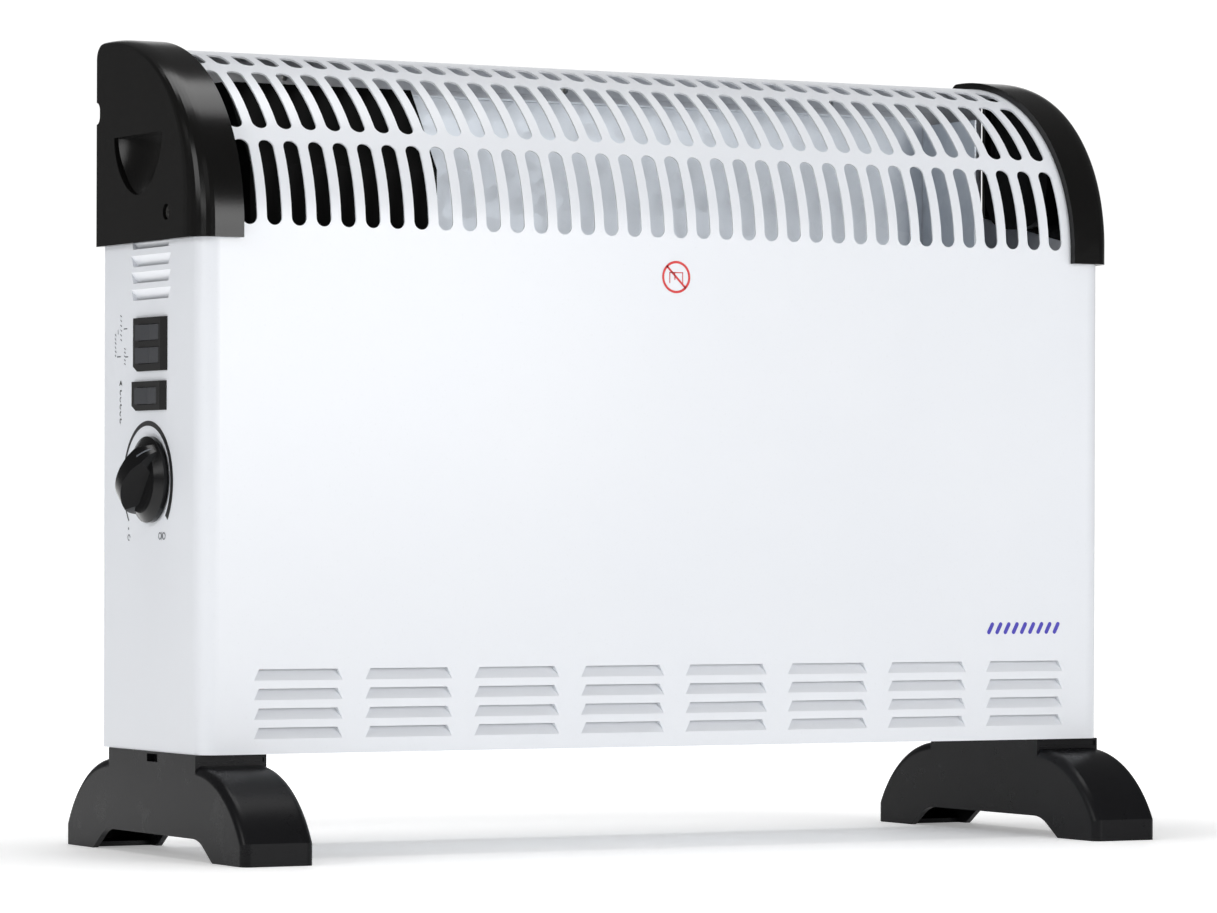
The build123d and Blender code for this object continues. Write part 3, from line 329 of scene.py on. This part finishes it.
def cutout_brown():
    return moulded(
        "cutout_brown",
        (0.020, 0.013, 0.009, 1),
        (0.035, 0.024, 0.017, 1),
        gloss=0.4, grain_size=0.0005, grain_depth=0.00004,
    )


def wire_red():
    return moulded(
        "wire_red",
        (0.42, 0.030, 0.022, 1),
        (0.52, 0.045, 0.032, 1),
        gloss=0.42, grain_size=0.0009, grain_depth=0.00005,
    )


print("eleven moulded finishes")

# %% [markdown]
# ## Metals
#
# Zinc-dipped sheet shows spangle: frost-like crystals from a few millimetres to a centimetre, each
# catching the light differently. Voronoi cells are exactly that pattern. The screws and the
# thermostat's parts are turned and plated, so they carry fine rings and tarnish instead.


# %% Galvanised sheet
def galvanised():
    zinc = Finish("galvanised", Metallic=0.7)
    crystal = zinc.node("ShaderNodeSeparateColor", {}, {0: zinc.cells(0.007, out=1)})
    fine = zinc.noise(0.0012, detail=3.0)
    film = zinc.noise(0.06, detail=3.0)
    spangle = (crystal * 0.5 + film * 0.4 + fine * 0.1).clamped()
    zinc.color(zinc.blend(spangle, (0.74, 0.79, 0.85, 1), (0.86, 0.90, 0.95, 1)))
    zinc.roughness(0.40 + crystal * 0.10 + fine * 0.08)
    zinc.relief(crystal * 0.5 + fine * 0.5, 0.00002, 0.5)
    return zinc.material


# %% Plated, blackened, brass, laminated and heat-tinted metal
def plain_metal(name, dark, light, gloss, scale=0.0015, metallic=1.0):
    metal = Finish(name, Metallic=metallic)
    scratch = metal.noise(scale, detail=4.0, rough=0.65, stretch=(1.0, 1.0, 6.0))
    tarnish = metal.noise(scale * 9, detail=3.0)
    metal.color(metal.blend((scratch * 0.35 + tarnish * 0.65).clamped(), dark, light))
    metal.roughness(gloss + scratch * 0.14 + tarnish * 0.08)
    metal.relief(scratch, 0.00002, 0.5)
    return metal.material


def zinc_plate():
    return plain_metal("zinc_plate", (0.50, 0.50, 0.50, 1), (0.72, 0.72, 0.70, 1), 0.24)


def black_steel():
    return plain_metal("black_steel", (0.020, 0.020, 0.020, 1), (0.060, 0.058, 0.055, 1), 0.36)


def brass():
    return plain_metal("brass", (0.52, 0.37, 0.14, 1), (0.76, 0.57, 0.25, 1), 0.22)


def motor_steel():
    return plain_metal("motor_steel", (0.26, 0.27, 0.28, 1), (0.42, 0.43, 0.45, 1), 0.34, 0.0006)


def hot_wire():
    return plain_metal("hot_wire", (0.15, 0.11, 0.10, 1), (0.36, 0.31, 0.30, 1), 0.40, 0.0008)


# %% Mica board
def mica():
    board = Finish("mica", IOR=1.56)
    flakes = board.cells(0.004)
    cloud = board.noise(0.02, detail=4.0)
    layers = (flakes * 0.5 + cloud * 0.5).clamped()
    board.color(board.blend(layers, (0.36, 0.27, 0.15, 1), (0.58, 0.48, 0.32, 1)))
    board.roughness(0.28 + flakes * 0.25)
    board.relief(flakes, 0.00008, 0.6)
    return board.material


# %% Printing inks
def ink(name, tone, thin):
    """Screen-printed ink: slightly uneven in strength, a little glossier than the enamel."""
    print_ = Finish(name, IOR=1.45)
    screen = print_.noise(0.0005, detail=2.0)
    patch = print_.noise(0.006, detail=2.0)
    print_.color(print_.blend((screen * 0.5 + patch * 0.5).clamped(), tone, thin))
    print_.roughness(0.36 + screen * 0.12)
    print_.relief(screen, 0.00001, 0.4)
    return print_.material


INK_BLACK = ink("ink_black", (0.010, 0.010, 0.011, 1), (0.024, 0.024, 0.026, 1))
INK_GREY = ink("ink_grey", (0.10, 0.11, 0.125, 1), (0.17, 0.18, 0.20, 1))
INK_RED = ink("ink_red", (0.66, 0.018, 0.022, 1), (0.74, 0.045, 0.045, 1))
INK_BLUE = ink("ink_blue", (0.050, 0.040, 0.42, 1), (0.075, 0.060, 0.50, 1))
print("metals, mica and four inks")

# %% [markdown]
# ## Dressing the frame
#
# Each solid keeps its shape and takes a finish. The table reads as a parts list: one line per
# finish, with the parts that wear it.

# %% Give each part its finish
WEARS = {
    white_enamel: ["front_cover", "rear_panel"],
    cap_black: ["end_cap_left", "end_cap_right", "cord_gland"],
    foot_charcoal: ["foot_left", "foot_right"],
    duct_black_painted_shade: ["fan_duct"],
    bezel_black: ["double_switch_housing", "fan_switch_housing"],
    rocker_grey: ["rocker_high", "rocker_low", "rocker_fan"],
    knob_gloss: ["dial_knob"],
    fan_nylon: ["fan_blades"],
    thermoset_cream: ["thermostat_body"],
    terminal_nylon: ["terminal_block"],
    cutout_brown: ["thermal_cutout"],
    wire_red: ["wires"],
    galvanised: ["base_plate", "reflector", "partition_left", "partition_right", "element_brackets"],
    zinc_plate: ["foot_screws", "rear_screws", "thermostat_nut", "dial_shaft"],
    black_steel: ["cap_screws"],
    brass: ["switch_tabs"],
    motor_steel: ["fan_motor"],
    hot_wire: ["element_coils"],
    mica: ["element_boards"],
}
FINISH_OF = {}
for make_finish, names in WEARS.items():
    made = make_finish()
    FINISH_OF[make_finish.__name__] = made
    for name in names:
        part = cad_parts[name]
        part.data.materials.clear()
        part.data.materials.append(made)
bare = [name for name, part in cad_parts.items() if len(part.data.materials) != 1]
print("finishes:", len(WEARS), "parts left bare:", bare)

# %% [markdown]
# ## Where things are
#
# Every position comes from the boxes of the solids: the left face of the case, the front face,
# and the middle of the dial.

# %% Landmarks
cover_low, cover_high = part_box("front_cover")
LEFT = cover_low[0]
RIGHT = cover_high[0]
FRONT = cover_low[1]
MIDDLE = (LEFT + RIGHT) / 2
knob_low, knob_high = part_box("dial_knob")
DIAL = Vector((LEFT, (knob_low[1] + knob_high[1]) / 2, (knob_low[2] + knob_high[2]) / 2))
INK_LIFT = 0.00012
SCALE_BACK = 0.0054  # the centre of the dial's scale lies this far behind the dial,
SCALE_DROP = 0.0012  # and this far below it
print("left face %.4f, front face %.4f, dial at %.4f %.4f" % (LEFT, FRONT, DIAL.y, DIAL.z))


# %% A helper that turns points and faces into a piece
def piece(name, points, faces, finish, body, smooth=False):
    mesh = bpy.data.meshes.new(name)
    mesh.from_pydata(points, [], faces)
    mesh.update()
    made = bpy.data.objects.new(name, mesh)
    bpy.context.scene.collection.objects.link(made)
    mesh.materials.append(finish)
    for face in mesh.polygons:
        face.use_smooth = smooth
    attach(made, body)
    return made


# %% [markdown]
# ## Printed marks
#
# The scale round the dial is a crescent of black ink that widens as the heat goes up. Ink has no
# thickness worth modelling, so each mark is a flat strip of faces a tenth of a millimetre off the
# enamel. Flat marks are drawn in their own plane first, with u towards the viewer's right and v up,
# and then laid on the left face or the front face.


# %% Laying flat drawings on the case
def on_left(u, v):
    """A drawing on the left end: u grows towards the front, from the centre of the dial's scale."""
    return (LEFT - INK_LIFT, DIAL.y + SCALE_BACK - u, DIAL.z - SCALE_DROP + v)


def by_switches(u, v):
    """The same, raised a little to sit level with the rockers."""
    return on_left(u, v + 0.0009)


def on_front(u, v):
    """A drawing on the front: u grows to the right of the case's middle, v from its base."""
    return (MIDDLE + u, FRONT - INK_LIFT, v)


def strip(centre, radius, start, end, thin, thick, steps=72):
    """A band along an arc, in degrees, whose width grows from thin to thick inward."""
    outer = []
    inner = []
    for k in range(steps + 1):
        share = k / steps
        turn = math.radians(start + (end - start) * share)
        width = thin + (thick - thin) * share
        for edge, reach in ((outer, radius), (inner, radius - width)):
            edge.append((centre[0] + reach * math.cos(turn), centre[1] + reach * math.sin(turn)))
    faces = [(k, k + 1, steps + 2 + k, steps + 1 + k) for k in range(steps)]
    return outer + inner, faces


def bar(start, end, width, rounding=6):
    """A straight bar with round ends."""
    run = Vector(end) - Vector(start)
    turn = math.atan2(run.y, run.x)
    points = []
    for centre, first in ((end, -90), (start, 90)):
        for k in range(rounding + 1):
            angle = turn + math.radians(first + 180 * k / rounding)
            points.append(
                (centre[0] + width / 2 * math.cos(angle), centre[1] + width / 2 * math.sin(angle))
            )
    return points, [tuple(range(len(points)))]


def drawing(name, shapes, lay, finish):
    """Several flat shapes as one printed piece."""
    points = []
    faces = []
    for shape_points, shape_faces in shapes:
        first = len(points)
        points += [lay(u, v) for u, v in shape_points]
        faces += [tuple(first + k for k in face) for face in shape_faces]
    return piece(name, points, faces, finish, "case")


# %% The crescent round the dial
SCALE_R = 0.0307
crescent = strip((0.0, 0.0), SCALE_R, 220, 90, 0.0009, 0.0025)
crescent_end = strip((0.0, 0.0), SCALE_R, 90, -38, 0.0025, 0.0036)
drawing("dial_scale", [crescent, crescent_end], on_left, INK_BLACK)
low_mark = [
    bar((-0.0237, -0.0242), (-0.0237, -0.0241), 0.0013),
    strip((-0.0232, -0.0287), 0.0016, 0, 300, 0.0005, 0.0005, 20),
]
high_mark = [
    strip((0.0150, -0.0278), 0.0019, 0, 360, 0.0006, 0.0006, 24),
    strip((0.0198, -0.0278), 0.0019, 0, 360, 0.0006, 0.0006, 24),
    bar((0.0174, -0.0297), (0.0174, -0.0259), 0.0005),
]
drawing("dial_marks", low_mark + high_mark, by_switches, INK_GREY)
print("dial scale printed")

# %% Setting marks beside the switches
# Short strokes and corner brackets stand for the settings, and a small triangle points the way to
# press the fan switch. They are plain signs, not words.
strokes = []
for k in range(6):
    v = 0.0835 - k * 0.0024
    strokes.append(bar((-0.0345 + 0.0003 * (k % 2), v), (-0.0330, v - 0.0007), 0.00055))
for k in range(6):
    v = 0.0742 - k * 0.0021
    strokes.append(bar((-0.0412, v), (-0.0399 - 0.0004 * (k % 2), v - 0.0008), 0.00055))
for k in range(5):
    v = 0.0668 - k * 0.0019
    strokes.append(bar((-0.0296, v), (-0.0283, v - 0.0006), 0.00055))
strokes.append(bar((-0.0300, 0.0766), (-0.0262, 0.0766), 0.0006))
strokes.append(bar((-0.0375, 0.0762), (-0.0375, 0.0744), 0.0006))
strokes.append(bar((-0.0385, 0.0627), (-0.0345, 0.0627), 0.0006))
strokes.append(bar((-0.0280, 0.0624), (-0.0250, 0.0624), 0.0006))
drawing("setting_marks", strokes, by_switches, INK_GREY)
arrow_points = [(-0.0360, 0.0478), (-0.0340, 0.0508), (-0.0320, 0.0478), (-0.0340, 0.0488)]
fan_marks = [(arrow_points, [(0, 1, 3), (1, 2, 3)])]
for k in range(5):
    v = 0.0445 - k * 0.0036
    fan_marks.append(strip((-0.0338, v), 0.0014, 30 + 40 * (k % 2), 250, 0.0006, 0.0006, 14))
drawing("fan_marks", fan_marks, by_switches, INK_BLACK)
print("switch marks:", len(strokes) + len(fan_marks))

# %% Do-not-cover sign and maker's corner mark on the front
# A plain red ring with a bar across it, and a short row of blue strokes where a maker would sign.
sign = [
    strip((0.0017, 0.2930), 0.0083, 0, 360, 0.00125, 0.00125, 64),
    bar((-0.0036, 0.2983), (0.0070, 0.2877), 0.0011),
]
drawing("cover_sign", sign, on_front, INK_RED)
inner = [
    bar((-0.0021, 0.2900), (-0.0021, 0.2953), 0.0005),
    bar((-0.0021, 0.2953), (0.0055, 0.2953), 0.0005),
    bar((0.0055, 0.2953), (0.0055, 0.2900), 0.0005),
    bar((0.0009, 0.2953), (0.0009, 0.2917), 0.0005),
]
drawing("cover_sign_inner", inner, on_front, INK_RED)
corner = [bar((0.1930 + k * 0.0052, 0.1093), (0.1952 + k * 0.0052, 0.1135), 0.0022) for k in range(9)]
drawing("corner_mark", corner, on_front, INK_BLUE)
print("front printed")

# %% [markdown]
# ## Screws with cross recesses
#
# The solids hold plain heads. A real pan head is domed and has a cross pressed into it, and that
# cross is what makes it read as a screw. One head is drawn once: rings of points sweep out a dome,
# and the cross is cut by pushing the points that fall in two narrow channels down into the head.


# %% One screw head, drawn at the origin and facing +Z
def screw_head(radius, tall, recess):
    made = bmesh.new()
    rings = 14
    around = 48
    grid = []
    for i in range(rings + 1):
        share = i / rings
        row = []
        for k in range(around):
            turn = 2 * math.pi * k / around
            x = radius * share * math.cos(turn)
            y = radius * share * math.sin(turn)
            z = tall * math.sqrt(max(0.0, 1 - (share * 0.98) ** 2.6))
            arm = min(abs(x), abs(y))
            reach = max(abs(x), abs(y))
            if arm < radius * 0.15 and reach < radius * 0.62:
                z -= recess * (1 - (reach / (radius * 0.62)) ** 4)
            row.append(made.verts.new((x, y, z)))
        grid.append(row)
    for i in range(rings):
        for k in range(around):
            a, b = grid[i][k], grid[i][(k + 1) % around]
            c, d = grid[i + 1][(k + 1) % around], grid[i + 1][k]
            made.faces.new((a, d, c, b))
    rim = [made.verts.new((v.co.x, v.co.y, 0.0)) for v in grid[rings]]
    for k in range(around):
        made.faces.new((grid[rings][k], rim[k], rim[(k + 1) % around], grid[rings][(k + 1) % around]))
    bmesh.ops.remove_doubles(made, verts=made.verts, dist=1e-7)
    return made


SCREW_GAP = 0.020


def head_boxes(node):
    """The box of each screw in a node: points closer than SCREW_GAP belong to one screw."""
    points = [v.co.copy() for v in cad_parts[node].data.vertices]
    groups = []
    for point in points:
        for group in groups:
            if (group["centre"] - point).length < SCREW_GAP:
                group["points"].append(point)
                break
        else:
            groups.append({"centre": point.copy(), "points": [point]})
    boxes = []
    for group in groups:
        low = Vector([min(p[k] for p in group["points"]) for k in range(3)])
        high = Vector([max(p[k] for p in group["points"]) for k in range(3)])
        boxes.append((low, high))
    return boxes


# %% Put a head on every screw
def fit_heads(name, node, axis, sign, finish, tall, recess):
    """Heads on each screw's outer end, facing sign along an axis; sign 0 faces away from the middle."""
    outward = sign
    made = bmesh.new()
    boxes = head_boxes(node)
    for low, high in boxes:
        across = [k for k in range(3) if k != axis]
        radius = (high[across[0]] - low[across[0]]) / 2
        middle = (low + high) / 2
        sign = outward or (1 if middle[axis] > MIDDLE else -1)
        face = high[axis] if sign > 0 else low[axis]
        middle[axis] = face - sign * tall
        z_way = Vector((0, 0, 0))
        z_way[axis] = sign
        turn = z_way.to_track_quat("Z", "Y").to_matrix().to_4x4()
        twist = Matrix.Rotation(0.7 + 1.3 * len(made.verts), 4, "Z")
        head = screw_head(radius, tall, recess)
        head.transform(Matrix.Translation(middle) @ turn @ twist)
        copy = bpy.data.meshes.new("one_head")
        head.to_mesh(copy)
        made.from_mesh(copy)
        bpy.data.meshes.remove(copy)
        head.free()
    mesh = bpy.data.meshes.new(name)
    made.to_mesh(mesh)
    made.free()
    for face in mesh.polygons:
        face.use_smooth = True
    heads = bpy.data.objects.new(name, mesh)
    bpy.context.scene.collection.objects.link(heads)
    mesh.materials.append(finish)
    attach(heads, "case")
    return heads, len(boxes)


rear_heads, rear_count = fit_heads(
    "rear_screw_heads", "rear_screws", 1, 1, FINISH_OF["zinc_plate"], 0.0021, 0.0011
)
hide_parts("rear_screws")
foot_heads, foot_count = fit_heads(
    "foot_screw_heads", "foot_screws", 2, -1, FINISH_OF["zinc_plate"], 0.0021, 0.0011
)
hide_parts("foot_screws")
cap_heads, cap_count = fit_heads(
    "cap_screw_heads", "cap_screws", 0, 0, FINISH_OF["black_steel"], 0.0018, 0.0010
)
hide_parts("cap_screws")
print("screw heads:", rear_count, "behind,", foot_count, "below and", cap_count, "on the caps")

# %% Pointer on the dial
# A pale line of paint runs down the crest of the fin, on the half that points at the scale.
FIN_LEAN = math.radians(40)
FIN_HALF = 0.0208
KNOB_GAP = 0.0007
FIN_RISE = LEFT - KNOB_GAP - knob_low[0]
PAINT_LIFT = 0.0002
crest_points = []
for k in range(9):
    out = 0.0148 + k * 0.00062
    rise = FIN_RISE * math.sqrt(1 - (out / FIN_HALF) ** 2)
    for aside in (-0.0005, 0.0005):
        forward = out * math.sin(FIN_LEAN) + aside * math.cos(FIN_LEAN)
        upward = out * math.cos(FIN_LEAN) - aside * math.sin(FIN_LEAN)
        crest_points.append((LEFT - KNOB_GAP - rise - PAINT_LIFT, DIAL.y - forward, DIAL.z + upward))
crest_faces = [(2 * k, 2 * k + 1, 2 * k + 3, 2 * k + 2) for k in range(8)]
piece("dial_pointer", crest_points, crest_faces, INK_GREY, "dial", smooth=True)
print("pointer drawn along the fin")

# %% [markdown]
# ## Camera, floor and light
#
# The heater stands on a plain white floor and is seen from its left front, a little above the feet,
# through a long lens so that its edges stay nearly parallel. The frame is shifted up, as with a view
# camera, so upright edges stay upright.

# %% Camera
camera_data = bpy.data.cameras.new("camera")
camera_data.sensor_width = 36.0
camera_data.lens = 158.0
camera_data.shift_y = 0.0593
camera_data.clip_end = 60.0
camera = bpy.data.objects.new("camera", camera_data)
bpy.context.scene.collection.objects.link(camera)
camera.location = (-1.3433, -2.4450, 0.1637)
camera.rotation_euler = (math.radians(90), math.radians(-0.17), math.radians(-28.804))
bpy.context.scene.camera = camera
print("camera %.2f m from the dial" % (camera.location - DIAL).length)

# %% Floor
# The sweep is painted light: it glows by emission, near-white away from the heater and dim grey near
# it, a painted shadow under the heater, so no horizon shows. The glow keeps to a lane that runs from in
# front of the heater to far behind it.
AHEAD = (0.4818, 0.8763, 0.0)
ASIDE = (0.8763, -0.4818, 0.0)
floor_finish = Finish("studio_floor", Emission_Strength=1.0)
paper = floor_finish.noise(0.004, detail=2.0)
spot = floor_finish.node("ShaderNodeMapping", {}, {0: floor_finish.where(), 3: (0.8, 1.0, 0.0)})
away = floor_finish.node("ShaderNodeVectorMath", {"operation": "LENGTH"}, {0: spot}, out=1)
painted_glow = floor_finish.spread(away, 0.24, 0.62)
along = floor_finish.along(floor_finish.where(), AHEAD)
across = floor_finish.along(floor_finish.where(), ASIDE)
lane = (across * across) ** 0.5 / (along * 0.16 + 0.75)
painted_glow = painted_glow * floor_finish.spread(lane, 0.7, 2.4, 1.0, 0.0) * floor_finish.spread(along, -1.0, -0.6)
# Painted light and painted shadow: the emission is dim grey under and around the heater and near-white
# further away.
painted_floor_glow = floor_finish.blend(painted_glow, (0.30, 0.30, 0.30, 1), (0.95, 0.95, 0.95, 1))
floor_finish.feed(floor_finish.surface.inputs["Emission Color"], painted_floor_glow)
floor_finish.color(floor_finish.blend(paper, (0.88, 0.88, 0.88, 1), (0.91, 0.91, 0.91, 1)))
floor_finish.roughness(0.55 + paper * 0.1)
floor_mesh = bpy.data.meshes.new("floor")
floor_mesh.from_pydata([(-30, -30, 0), (30, -30, 0), (30, 30, 0), (-30, 30, 0)], [], [(0, 1, 2, 3)])
floor_mesh.materials.append(floor_finish.material)
floor = bpy.data.objects.new("floor", floor_mesh)
bpy.context.scene.collection.objects.link(floor)


# %% Light
def panel(name, place, aim, width, height, power, tone=(1, 1, 1)):
    """A soft rectangular light at place, turned towards aim."""
    data = bpy.data.lights.new(name, "AREA")
    data.shape = "RECTANGLE"
    data.size = width
    data.size_y = height
    data.energy = power
    data.color = tone
    light = bpy.data.objects.new(name, data)
    bpy.context.scene.collection.objects.link(light)
    light.location = place
    light.rotation_euler = (Vector(aim) - Vector(place)).to_track_quat("-Z", "Y").to_euler()
    return light


panel("key", (-1.3, -2.3, 1.7), (0.0, 0.0, 0.2), 1.3, 1.3, 3.0)
panel("front", (0.75, -2.4, 0.62), (-0.2, 0.0, 0.25), 0.9, 0.8, 19.5)
panel("side", (-2.4, -0.5, 1.1), (-0.26, 0.0, 0.2), 1.1, 1.1, 17.5)
panel("top", (0.0, 0.1, 2.3), (0.0, 0.0, 0.3), 1.6, 1.0, 25.0)

# %% A room that is white behind the heater and dim at its back left
world = bpy.data.worlds.new("studio")
world.use_nodes = True
room = world.node_tree
background = room.nodes["Background"]
direction = room.nodes.new("ShaderNodeTexCoord")
ahead = room.nodes.new("ShaderNodeVectorMath")
ahead.operation = "DOT_PRODUCT"
ahead.inputs[1].default_value = (0.477, 0.879, 0.0)
fade = room.nodes.new("ShaderNodeMapRange")
fade.interpolation_type = "SMOOTHSTEP"
fade.inputs["From Min"].default_value = 0.90
fade.inputs["From Max"].default_value = 0.985
fade.inputs["To Min"].default_value = 0.14
fade.inputs["To Max"].default_value = 1.05
room.links.new(direction.outputs["Generated"], ahead.inputs[0])
room.links.new(ahead.outputs["Value"], fade.inputs["Value"])
room.links.new(fade.outputs["Result"], background.inputs["Strength"])
background.inputs["Color"].default_value = (1, 1, 1, 1)
bpy.context.scene.world = world
bpy.context.scene.view_settings.view_transform = "Standard"
print("four panels and a room that fades from white to dim")
